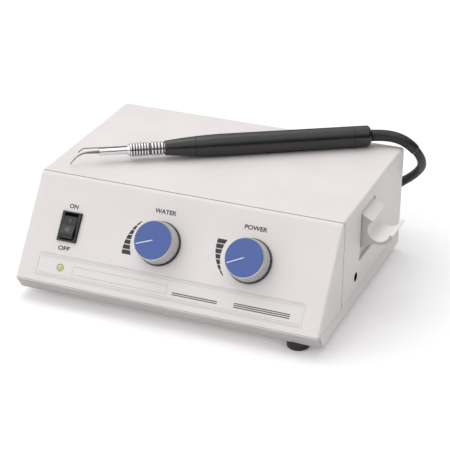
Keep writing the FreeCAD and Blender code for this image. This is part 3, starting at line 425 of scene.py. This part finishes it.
def finish(name, colour, roughness, metallic=0.0, patch=14 * MM, tint=0.05, uneven=0.06,
           grain=0.5 * MM, depth=0.01 * MM, edge=0.25 * MM, wear=1.12, lines=None, scored=None, coat=0.0):
    """A surface with patches of slightly other colour and roughness, a grain, and worn edges.

    tint and uneven are how far the patches differ in colour and in roughness, patch and grain are
    their sizes, and depth is the grain's. Edges narrower than edge are wear times as bright.
    lines is (direction, pitch, depth) for fine lines that lie square to a direction, such as
    tool marks, stacked sheets or the turns of a winding. scored is (direction, pitch, depth) for
    fine scores that run along a direction.
    """
    nodes = Nodes(name)
    shader = nodes.shader
    cloud = nodes.noise(patch, detail=4)
    fine = nodes.noise(grain, detail=3, roughness=0.6)
    rounded, at_edge = nodes.edges(edge)
    body = nodes.mix(nodes.spread(cloud, 0, 1), scaled(colour, 1 - tint), scaled(colour, 1 + tint))
    speckled = nodes.mix(nodes.spread(fine, 0, 0.35, 0.55, 0.75), body, scaled(colour, 1 - 2 * tint))
    rubbed = nodes.spread(nodes.noise(4 * MM), 0.2, 1.0)
    wear_share = nodes.add("ShaderNodeMath", operation="MULTIPLY")
    nodes.link(at_edge, wear_share.inputs[0])
    nodes.link(rubbed, wear_share.inputs[1])
    worn = nodes.mix(wear_share.outputs["Value"], speckled, scaled(colour, wear))
    nodes.link(worn, shader.inputs["Base Color"])
    nodes.link(nodes.spread(cloud, roughness - uneven, roughness + uneven), shader.inputs["Roughness"])
    normal = nodes.bump(fine, depth, normal=rounded)
    if lines:
        direction, pitch, line_depth = lines
        marks = nodes.noise(pitch, detail=1, at=nodes.along(direction), dimensions="1D")
        normal = nodes.bump(marks, line_depth, normal=normal)
    if scored:
        direction, pitch, score_depth = scored
        scores = nodes.noise(pitch, detail=2, at=nodes.flattened(direction))
        normal = nodes.bump(scores, score_depth, normal=normal)
    nodes.link(normal, shader.inputs["Normal"])
    shader.inputs["Metallic"].default_value = metallic
    shader.inputs["Coat Weight"].default_value = coat
    shader.inputs["Coat Roughness"].default_value = 0.15
    return nodes.material


def case_plastic():
    """Warm white moulded plastic with a fine spark texture."""
    return finish("case_plastic", (0.80, 0.765, 0.76), 0.46, tint=0.02, grain=0.7 * MM,
                  depth=0.045 * MM, edge=0.5 * MM, wear=1.05, patch=30 * MM)


def chin_painted_shade():
    """Painted shade: the tray's plastic painted darker grey where it faces the table, for the shade there."""
    return finish("chin_painted_shade", (0.46, 0.44, 0.44), 0.55, tint=0.05, grain=0.7 * MM,
                  depth=0.045 * MM, edge=0.5 * MM, wear=1.2, patch=30 * MM)


def gap_painted_shade():
    """Painted shade: near black, for the shade deep in a narrow gap."""
    return finish("gap_painted_shade", (0.10, 0.095, 0.09), 0.7, tint=0.15, wear=1.5)


def hook_painted_light():
    """Painted light: plastic painted brighter than the case for the light on the cradle's hook, and smoother."""
    return finish("hook_painted_light", (0.92, 0.895, 0.885), 0.38, tint=0.02, grain=0.6 * MM,
                  depth=0.02 * MM, edge=0.5 * MM, wear=1.03, patch=20 * MM)


def painted_shade_grey():
    """Painted shade: mid grey for the shade on the cradle's plate and front end and along the top of the cover's
    gap.
    """
    return finish("painted_shade_grey", (0.54, 0.52, 0.515), 0.46, tint=0.04, grain=0.7 * MM,
                  depth=0.045 * MM, edge=0.4 * MM, wear=1.15, patch=12 * MM)


def strip_plastic():
    """The smooth film of the strip along the front."""
    return finish("strip_plastic", (0.79, 0.765, 0.76), 0.36, tint=0.012, grain=0.4 * MM,
                  depth=0.006 * MM, wear=1.04)


def knob_plastic():
    """Silver knobs whose sides are finely scored from the cap to the skirt."""
    return finish("knob_plastic", (0.56, 0.555, 0.56), 0.27, metallic=0.9, tint=0.05,
                  grain=0.3 * MM, depth=0.006 * MM, wear=1.25, scored=(FACE_OUT, 0.9 * MM, 0.10 * MM))


def cap_plastic():
    return finish("cap_plastic", (0.066, 0.122, 0.375), 0.42, tint=0.05, grain=0.35 * MM,
                  depth=0.012 * MM, edge=0.3 * MM, wear=1.5)


def black_plastic():
    return finish("black_plastic", (0.012, 0.0115, 0.012), 0.25, tint=0.15, grain=0.3 * MM,
                  depth=0.008 * MM, wear=2.2, coat=0.3)


def switch_black():
    return finish("switch_black", (0.014, 0.014, 0.016), 0.28, tint=0.12, grain=0.4 * MM,
                  depth=0.010 * MM, wear=3.0)


def lamp_lens():
    """Green-tinted lens of a lit lamp, brighter in patches where its chip shines through."""
    material = finish("lamp_lens", (0.42, 0.47, 0.18), 0.25, tint=0.12, grain=0.6 * MM,
                      depth=0.01 * MM, wear=1.15, coat=0.3)
    shader = material.node_tree.nodes["Principled BSDF"]
    shader.inputs["Emission Color"].default_value = (0.60, 0.70, 0.26, 1)
    shader.inputs["Emission Strength"].default_value = 0.25
    return material


def rubber():
    return finish("rubber", (0.024, 0.024, 0.025), 0.72, tint=0.18, grain=0.3 * MM,
                  depth=0.03 * MM, wear=1.9)


def cord_rubber():
    """The smooth dark jacket of the cord."""
    return finish("cord_rubber", (0.017, 0.017, 0.019), 0.44, tint=0.15, grain=0.35 * MM,
                  depth=0.015 * MM, wear=1.6, patch=20 * MM)


def steel():
    return finish("steel", (0.56, 0.555, 0.55), 0.27, metallic=1.0, tint=0.06, grain=0.25 * MM,
                  depth=0.006 * MM, wear=1.3, lines=(HANDPIECE_ALONG, 0.25 * MM, 0.006 * MM))


def black_steel():
    """Blackened screws."""
    return finish("black_steel", (0.012, 0.012, 0.013), 0.5, metallic=0.2, tint=0.15, wear=2.5)


def tip_steel():
    """Bare hardened steel, darker than the plating."""
    return finish("tip_steel", (0.24, 0.235, 0.23), 0.30, metallic=1.0, tint=0.1, wear=1.5)


def groove_painted_shade():
    """Painted shade: plating between ribs painted dark for the shade there, and dull."""
    return finish("groove_painted_shade", (0.15, 0.145, 0.14), 0.45, metallic=0.8, tint=0.1, wear=1.5)


def chrome():
    """Bright plating with faint rings from polishing."""
    return finish("chrome", (0.80, 0.80, 0.81), 0.10, metallic=1.0, tint=0.04, uneven=0.04,
                  grain=0.4 * MM, depth=0.003 * MM, edge=0.08 * MM, wear=1.1,
                  lines=(HANDPIECE_ALONG, 0.4 * MM, 0.004 * MM))


def brass():
    return finish("brass", (0.70, 0.51, 0.22), 0.28, metallic=1.0, tint=0.08, grain=0.3 * MM,
                  depth=0.008 * MM, wear=1.25, lines=(Y, 0.35 * MM, 0.008 * MM))


def aluminium():
    """Brushed sheet, its brush marks running across the panel."""
    return finish("aluminium", (0.66, 0.66, 0.67), 0.34, metallic=1.0, tint=0.04, grain=0.4 * MM,
                  depth=0.008 * MM, wear=1.2, lines=(Z, 0.22 * MM, 0.02 * MM))


def board_laminate():
    return finish("board_laminate", (0.028, 0.20, 0.08), 0.40, tint=0.12, grain=0.8 * MM,
                  depth=0.02 * MM, wear=1.6, coat=0.2)


def component_plastic():
    return finish("component_plastic", (0.045, 0.055, 0.11), 0.35, tint=0.12, wear=1.7)


def core_steel():
    """The transformer's stacked sheets, seen as fine lines on its sides."""
    return finish("core_steel", (0.18, 0.18, 0.19), 0.48, metallic=0.7, tint=0.12, wear=1.8,
                  lines=(Y, 0.6 * MM, 0.15 * MM))


def copper_winding():
    """Enamelled wire, turn by turn."""
    return finish("copper_winding", (0.50, 0.22, 0.07), 0.33, metallic=0.8, tint=0.12, wear=1.4,
                  lines=(Z, 0.5 * MM, 0.2 * MM))


def hose_plastic():
    return finish("hose_plastic", (0.70, 0.72, 0.73), 0.22, tint=0.04, wear=1.1, coat=0.3)


def wire_insulation():
    return finish("wire_insulation", (0.42, 0.045, 0.035), 0.40, tint=0.12, wear=1.4)


def liner_plastic():
    return finish("liner_plastic", (0.72, 0.70, 0.62), 0.40, tint=0.04, wear=1.1)


def print_ink(name, colour):
    """Screen-printed ink, slightly uneven where it took less."""
    return finish(name, colour, 0.5, tint=0.18, patch=2 * MM, grain=0.25 * MM, depth=0.004 * MM,
                  edge=0.03 * MM, wear=1.3)


FINISHES = {
    "case_plastic": case_plastic(),
    "strip_plastic": strip_plastic(),
    "knob_plastic": knob_plastic(),
    "cap_plastic": cap_plastic(),
    "black_plastic": black_plastic(),
    "switch_black": switch_black(),
    "lamp_lens": lamp_lens(),
    "rubber": rubber(),
    "cord_rubber": cord_rubber(),
    "steel": steel(),
    "black_steel": black_steel(),
    "chrome": chrome(),
    "brass": brass(),
    "aluminium": aluminium(),
    "board_laminate": board_laminate(),
    "component_plastic": component_plastic(),
    "core_steel": core_steel(),
    "copper_winding": copper_winding(),
    "hose_plastic": hose_plastic(),
    "wire_insulation": wire_insulation(),
    "liner_plastic": liner_plastic(),
}


def finish_node(node, material):
    """Gives a whole CAD node one finish."""
    mesh = frame["nodes"][node].data
    mesh.materials.clear()
    mesh.materials.append(material)


def finish_cad_nodes():
    """Gives every CAD node the finish of its material slot in the record."""
    for subpart in frame["record"]["subparts"]:
        finish_node(subpart["node"], FINISHES[subpart["material_slot"]])


def finish_faces(node, material, chosen):
    """Gives another finish to the faces of a CAD node whose middle is chosen."""
    mesh = frame["nodes"][node].data
    mesh.materials.append(material)
    for face in mesh.polygons:
        if chosen(face.center):
            face.material_index = len(mesh.materials) - 1


def paint_chin_shade():
    """Painted shade: the tray's front slopes back under the face, and is painted greyer than the rest of it for
    the shade there.
    """
    edge = 0.3 * MM

    def is_chin(point):
        return point.y < TRAY_LOW.y + CHIN_DEPTH - edge and point.z < FRONT_EDGE_Z - edge

    finish_faces("base_tray", chin_painted_shade(), is_chin)


def paint_cover_gap_shade():
    """Painted shade in the gap between the front and the cover: dark at the sides and lighter along the top."""
    middle = TRAY_LOW.y + COVER_GAP_Y
    reach = COVER_GAP / 2 + FACE_SLACK / 2
    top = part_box("front_bezel")[1].z - COVER_GAP_TOP
    side_shade = gap_painted_shade()
    top_shade = painted_shade_grey()
    for node, towards in (("front_bezel", 1), ("top_cover", -1)):
        def in_gap(point):
            return (point.y - middle) * towards > -reach

        finish_faces(node, side_shade, lambda point: in_gap(point) and point.z < top)
        finish_faces(node, top_shade, lambda point: in_gap(point) and point.z >= top)


def finish_tip():
    """The tip and its water line are bare steel."""
    bare_steel = tip_steel()
    for node in ("scaler_tip", "insert_water_line"):
        finish_node(node, bare_steel)


def paint_collar_groove_shade():
    """Painted shade: the grooves between the collars' ribs are painted dark and made dull."""

    def is_groove(point):
        along = (point - HANDPIECE_FRONT).dot(HANDPIECE_ALONG)
        off_axis = (point - HANDPIECE_FRONT - HANDPIECE_ALONG * along).length
        return COLLARS_FRONT < along < 0 and off_axis < GROOVE_R

    finish_faces("insert_body", groove_painted_shade(), is_groove)


def paint_screw_hole_shade():
    """Painted shade: the walls of the deep holes in the cover's sides over its screws are painted black for the
    shade inside them.
    """
    low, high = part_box("cover_screws")
    middle = (low + high) / 2

    def in_hole(point):
        off_axis = math.hypot(point.y - middle.y, point.z - middle.z)
        return off_axis < SCREW_HOLE_R + FACE_SLACK

    finish_faces("top_cover", FINISHES["black_plastic"], in_hole)


def paint_cradle_light_and_shade():
    """Painted light and shade on the cradle: its hook is painted brighter for the light on it, and its plate and
    its own front end darker for their shade.
    """
    plate_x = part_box("top_cover")[1].x - PLATE_SUNK + FACE_SLACK
    hook_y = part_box("handpiece_cradle")[0].y + HOOK_INSET
    finish_node("handpiece_cradle", hook_painted_light())
    finish_faces("handpiece_cradle", painted_shade_grey(), lambda point: point.x <= plate_x or point.y < hook_y)


def finish_inlet_pins():
    """The mains inlet's pins are metal: all that is inside its socket and clear of its walls."""
    low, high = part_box("power_inlet")
    middle = (low + high) / 2

    def is_pin(point):
        inside_x = abs(point.x - middle.x) < INLET_PINS_X
        inside_z = abs(point.z - middle.z) < INLET_PINS_Z
        return inside_x and inside_z and point.y > high.y - INLET_PINS_DEPTH

    finish_faces("power_inlet", FINISHES["brass"], is_pin)


# ---- Prints on the front --------------------------------------------------------------------


def face_place(u, s):
    """The place on the front at u to the right and s up its slope, its z outwards."""
    origin = case_point(u, 0, FRONT_EDGE_Z) + FACE_UP * s
    place = Matrix((X, FACE_UP, FACE_OUT)).transposed().to_4x4()
    place.translation = origin
    return place


def add_flat(mesh, outline, place, lift=PRINT_LIFT, thick=PRINT_THICK):
    """A thin plate of that outline, standing on a place."""
    low = [mesh.verts.new(place @ Vector((x, y, lift))) for x, y in outline]
    high = [mesh.verts.new(place @ Vector((x, y, lift + thick))) for x, y in outline]
    mesh.faces.new(high)
    mesh.faces.new(reversed(low))
    for i in range(len(outline)):
        after = (i + 1) % len(outline)
        mesh.faces.new((low[i], low[after], high[after], high[i]))


def closed_mesh(name, mesh):
    """The finished mesh of closed plates, with all their faces outwards."""
    bmesh.ops.recalc_face_normals(mesh, faces=mesh.faces)
    result = bpy.data.meshes.new(name)
    mesh.to_mesh(result)
    mesh.free()
    return result


def rectangle(left, right, low, high):
    """The outline of a rectangle."""
    return [(left, low), (right, low), (right, high), (left, high)]


def rounded_bar(length, width, steps=6):
    """The outline of a bar with round ends, from the origin along x."""
    radius = width / 2
    outline = []
    for centre, start in ((length - radius, -90), (radius, 90)):
        for i in range(steps + 1):
            turn = math.radians(start + 180 * i / steps)
            outline.append((centre + radius * math.cos(turn), radius * math.sin(turn)))
    return outline


def ring_segment(inner, outer, start, end):
    """The outline of a short piece of a flat ring between two angles in degrees."""
    corners = ((outer, start), (outer, end), (inner, end), (inner, start))
    return [(radius * math.cos(math.radians(turn)), radius * math.sin(math.radians(turn)))
            for radius, turn in corners]


def add_lettering(mesh, text, place, width, height):
    """Flat letters, as wide and high as given, centred on a place."""
    curve = bpy.data.curves.new(text, "FONT")
    curve.body = text
    curve.offset = LETTER_BOLD
    holder = bpy.data.objects.new(text, curve)
    letters = bpy.data.meshes.new_from_object(holder)
    low = Vector([min(v.co[i] for v in letters.vertices) for i in range(3)])
    high = Vector([max(v.co[i] for v in letters.vertices) for i in range(3)])
    size = high - low
    fit = Matrix.Diagonal((width / size.x, height / size.y, 1, 1))
    centre = Matrix.Translation(-(low + high) / 2)
    lift = Matrix.Translation((0, 0, PRINT_LIFT + PRINT_THICK))
    letters.transform(place @ lift @ fit @ centre)
    mesh.from_mesh(letters)
    bpy.data.objects.remove(holder)
    bpy.data.meshes.remove(letters)
    bpy.data.curves.remove(curve)


def control_labels(ink):
    """Plain words that say what the switch and the knobs do."""
    water_u = Vector(JOINTS["water_knob_turn"]["pos_m"]).x - CASE_ORIGIN.x
    power_u = Vector(JOINTS["power_knob_turn"]["pos_m"]).x - CASE_ORIGIN.x
    labels = [
        ("ON", SWITCH_U - 0.6 * MM, 57.1 * MM, 6.7 * MM),
        ("OFF", SWITCH_U - 0.6 * MM, 26.8 * MM, 9.0 * MM),
        ("WATER", water_u - 1.0 * MM, 64.9 * MM, 16.0 * MM),
        ("POWER", power_u - 1.0 * MM, 65.1 * MM, 16.3 * MM),
    ]
    mesh = bmesh.new()
    for text, u, s, width in labels:
        add_lettering(mesh, text, face_place(u, s), width, LABEL_HEIGHT)
    result = bpy.data.meshes.new("control_labels")
    mesh.to_mesh(result)
    mesh.free()
    return new_piece("control_labels", result, "case", ink)


# A knob's printed scale: its slices and the gaps between them, how far its thin and its thick end
# lie from the knob's middle height, and its inner and outer radii at those two ends
SCALE_STEPS = 7
SCALE_GAP = 0.55 * MM
SCALE_THIN_END = 13.3 * MM
SCALE_THICK_END = 11.6 * MM
SCALE_INNER = (20.8 * MM, 22.1 * MM)
SCALE_OUTER = (21.4 * MM, 28.4 * MM)


def knob_scale(name, joint, upwards, ink):
    """The printed scale on the left of a knob: a crescent in level slices of equal height.

    Its inner and outer radii grow from the thin end to the thick one, which is its upper end
    (upwards 1) or its lower end (-1).
    """
    u = Vector(JOINTS[joint]["pos_m"]).x - CASE_ORIGIN.x
    place = face_place(u, CONTROL_S)
    length = SCALE_THIN_END + SCALE_THICK_END
    height = length / SCALE_STEPS

    def edge_point(radii, along):
        radius = radii[0] + (radii[1] - radii[0]) * along / length
        level = along - SCALE_THIN_END
        return -math.sqrt(radius**2 - level**2), upwards * level

    mesh = bmesh.new()
    for i in range(SCALE_STEPS):
        levels = [height * i + SCALE_GAP / 2, height * (i + 0.5), height * (i + 1) - SCALE_GAP / 2]
        outline = [edge_point(SCALE_OUTER, along) for along in levels]
        outline += [edge_point(SCALE_INNER, along) for along in reversed(levels)]
        add_flat(mesh, outline, place)
    return new_piece(name, closed_mesh(name, mesh), "case", ink)


def strip_lines(ink):
    """Fine lines along both long edges of the strip."""
    low, high = STRIP_S
    mesh = bmesh.new()
    margin = 1.0 * MM
    half_line = 0.14 * MM
    outline = rectangle(STRIP_U[0] + margin, STRIP_U[1] - margin, -half_line, half_line)
    for inset in (0.9 * MM, 2.2 * MM):
        for s in (low + inset, high - inset):
            add_flat(mesh, outline, face_place(0, s), lift=0.0)
    return new_piece("strip_lines", closed_mesh("strip_lines", mesh), "case", ink)


def strip_frame(ink):
    """A plain outlined bar on the strip, where such units carry a name."""
    left, right = -71 * MM, 1 * MM
    low, high = 9.6 * MM, 15.6 * MM
    line = 0.35 * MM
    mesh = bmesh.new()
    place = face_place(0, 0)
    for outline in (
        rectangle(left, right, low, low + line),
        rectangle(left, right, high - line, high),
        rectangle(left, left + line, low + line, high - line),
        rectangle(right - line, right, low + line, high - line),
    ):
        add_flat(mesh, outline, place, lift=0.0)
    return new_piece("strip_frame", closed_mesh("strip_frame", mesh), "case", ink)


def strip_bars(ink):
    """Two groups of plain lines to the right of the frame."""
    mesh = bmesh.new()
    place = face_place(0, 0)
    lowest = 9.8 * MM
    pitch = 1.3 * MM
    line = 0.6 * MM
    for left, right, count in ((5 * MM, 38 * MM, 2), (50 * MM, 90 * MM, 3)):
        for i in range(count):
            low = lowest + i * pitch
            add_flat(mesh, rectangle(left, right, low, low + line), place, lift=0.0)
    return new_piece("strip_bars", closed_mesh("strip_bars", mesh), "case", ink)


# ---- Marks on the controls ------------------------------------------------------------------

# The pointers on the knobs' caps. An angle is in degrees from the right.
CAP_TOP = 14.0 * MM
POINTER_LENGTH = 12.4 * MM
POINTER_WIDTH = 0.65 * MM
POINTER_THICK = 0.05 * MM
WATER_POINTER_ANGLE = -159
POWER_POINTER_ANGLE = -154


def knob_pointer(name, joint, body, angle, paint):
    """The white line from a knob's middle to its edge, at an angle in degrees from the right."""
    u = Vector(JOINTS[joint]["pos_m"]).x - CASE_ORIGIN.x
    out = Matrix.Rotation(math.radians(angle), 4, "Z")
    place = face_place(u, CONTROL_S) @ out
    bar = rounded_bar(POINTER_LENGTH, POINTER_WIDTH)
    mesh = bmesh.new()
    add_flat(mesh, bar, place, lift=CAP_TOP, thick=POINTER_THICK)
    return new_piece(name, closed_mesh(name, mesh), body, paint)


# The rocker's faces, each sloping up from its middle, and the marks that stand on them
ROCKER_TOP = 3.0 * MM
ROCKER_DISH = math.atan2(0.75, 6.4)
STROKE_HALF_WIDTH = 0.25 * MM
STROKE_HALF_LENGTH = 1.3 * MM
STROKE_ALONG = 3.4 * MM
RING_INNER_R = 0.95 * MM
RING_OUTER_R = 1.4 * MM
RING_ALONG = 3.2 * MM
RING_SIDES = 24


def rocker_place(side, along):
    """A place on the rocker's upper (1) or lower (-1) half, that far from its middle."""
    joint = JOINTS["power_rocker"]
    tilt = math.radians(joint["range_deg"][1] / 2)
    place = Matrix((X, FACE_UP, FACE_OUT)).transposed().to_4x4()
    place.translation = Vector(joint["pos_m"])
    place = place @ Matrix.Rotation(-tilt, 4, "X") @ Matrix.Translation((0, 0, ROCKER_TOP))
    return place @ Matrix.Rotation(side * ROCKER_DISH, 4, "X") @ Matrix.Translation((0, side * along, 0))


def rocker_marks(paint):
    """The stroke for on and the ring for off, as on any rocker switch."""
    mesh = bmesh.new()
    stroke = rectangle(-STROKE_HALF_WIDTH, STROKE_HALF_WIDTH, -STROKE_HALF_LENGTH, STROKE_HALF_LENGTH)
    add_flat(mesh, stroke, rocker_place(1, STROKE_ALONG))
    ring_place = rocker_place(-1, RING_ALONG)
    for i in range(RING_SIDES):
        start = 360 * i / RING_SIDES
        end = start + 360 / RING_SIDES
        add_flat(mesh, ring_segment(RING_INNER_R, RING_OUTER_R, start, end), ring_place)
    return new_piece("rocker_marks", closed_mesh("rocker_marks", mesh), "rocker", paint)


# ---- The floor and the lights ---------------------------------------------------------------


def make_floor():
    """Pale matt paper, far wider than the view."""
    half_width = 6.0
    mesh = bmesh.new()
    bmesh.ops.create_grid(mesh, x_segments=1, y_segments=1, size=half_width)
    floor = bpy.data.objects.new("floor", closed_mesh("floor", mesh))
    bpy.context.scene.collection.objects.link(floor)
    nodes = Nodes("floor_paper")
    shader = nodes.shader
    cloud = nodes.noise(0.4, detail=2)
    paper = nodes.mix(cloud, (0.91, 0.91, 0.915), (0.93, 0.93, 0.93))
    nodes.link(paper, shader.inputs["Base Color"])
    shader.inputs["Roughness"].default_value = 0.9
    shader.inputs["Specular IOR Level"].default_value = 0.1
    shader.inputs["Emission Color"].default_value = (1, 1, 1, 1)
    shader.inputs["Emission Strength"].default_value = 0.12
    floor.data.materials.append(nodes.material)


# The sky's brightest direction, the cosines to it where the brightening starts and ends, and its
# strength there
SKY_UP = Vector((-0.30, -0.12, 1))
SKY_LOW = 0.14
SKY_HIGH = 0.80
SKY_DIM = 0.08
SKY_BRIGHT = 1.20


def make_sky():
    """A studio that is dark at the horizon and bright overhead, a little more so on the left."""
    world = bpy.data.worlds.new("studio")
    bpy.context.scene.world = world
    world.use_nodes = True
    tree = world.node_tree
    direction = tree.nodes.new("ShaderNodeTexCoord").outputs["Generated"]
    towards = tree.nodes.new("ShaderNodeVectorMath")
    towards.operation = "DOT_PRODUCT"
    tree.links.new(direction, towards.inputs[0])
    towards.inputs[1].default_value = SKY_UP.normalized()
    brightness = tree.nodes.new("ShaderNodeMapRange")
    brightness.interpolation_type = "SMOOTHSTEP"
    brightness.inputs["From Min"].default_value = SKY_LOW
    brightness.inputs["From Max"].default_value = SKY_HIGH
    brightness.inputs["To Min"].default_value = SKY_DIM
    brightness.inputs["To Max"].default_value = SKY_BRIGHT
    tree.links.new(towards.outputs["Value"], brightness.inputs["Value"])
    tree.links.new(brightness.outputs["Result"], tree.nodes["Background"].inputs["Strength"])
    tree.nodes["Background"].inputs["Color"].default_value = (1.0, 0.99, 0.985, 1)


def soft_light(name, direction, distance, size, power):
    """A square soft box that shines on the scaler from a direction."""
    light = bpy.data.lights.new(name, "AREA")
    light.shape = "SQUARE"
    light.size = size
    light.energy = power
    lamp = bpy.data.objects.new(name, light)
    bpy.context.scene.collection.objects.link(lamp)
    middle = (CAD_BOX[0] + CAD_BOX[1]) / 2
    towards = Vector(direction).normalized()
    lamp.location = middle + towards * distance
    lamp.rotation_mode = "QUATERNION"
    lamp.rotation_quaternion = towards.to_track_quat("Z", "Y")


def make_lights():
    """A broad soft box overhead, and a weak one from the front on the left."""
    soft_light("key", (-0.4, 0.1, 1.0), distance=2.4, size=1.8, power=12)
    soft_light("front", (-0.5, -1.0, 0.7), distance=2.4, size=0.8, power=1.3)
    bpy.context.scene.view_settings.view_transform = "Standard"


# ---- The scaler -----------------------------------------------------------------------------


def main():
    """Builds the whole picture round the CAD frame."""
    make_camera()
    make_cord(FINISHES["cord_rubber"])
    finish_cad_nodes()
    paint_chin_shade()
    paint_cover_gap_shade()
    finish_tip()
    paint_collar_groove_shade()
    paint_screw_hole_shade()
    paint_cradle_light_and_shade()
    finish_inlet_pins()
    dark_ink = print_ink("dark_ink", (0.032, 0.031, 0.035))
    pale_ink = print_ink("pale_ink", (0.60, 0.575, 0.57))
    white_paint = print_ink("white_paint", (0.75, 0.78, 0.88))
    grey_paint = print_ink("grey_paint", (0.22, 0.22, 0.24))
    control_labels(dark_ink)
    knob_scale("water_scale", "water_knob_turn", -1, dark_ink)
    knob_scale("power_scale", "power_knob_turn", 1, dark_ink)
    strip_lines(pale_ink)
    strip_frame(pale_ink)
    strip_bars(dark_ink)
    knob_pointer("water_pointer", "water_knob_turn", "water_knob", WATER_POINTER_ANGLE, white_paint)
    knob_pointer("power_pointer", "power_knob_turn", "power_knob", POWER_POINTER_ANGLE, white_paint)
    rocker_marks(grey_paint)
    make_floor()
    make_sky()
    make_lights()


main()
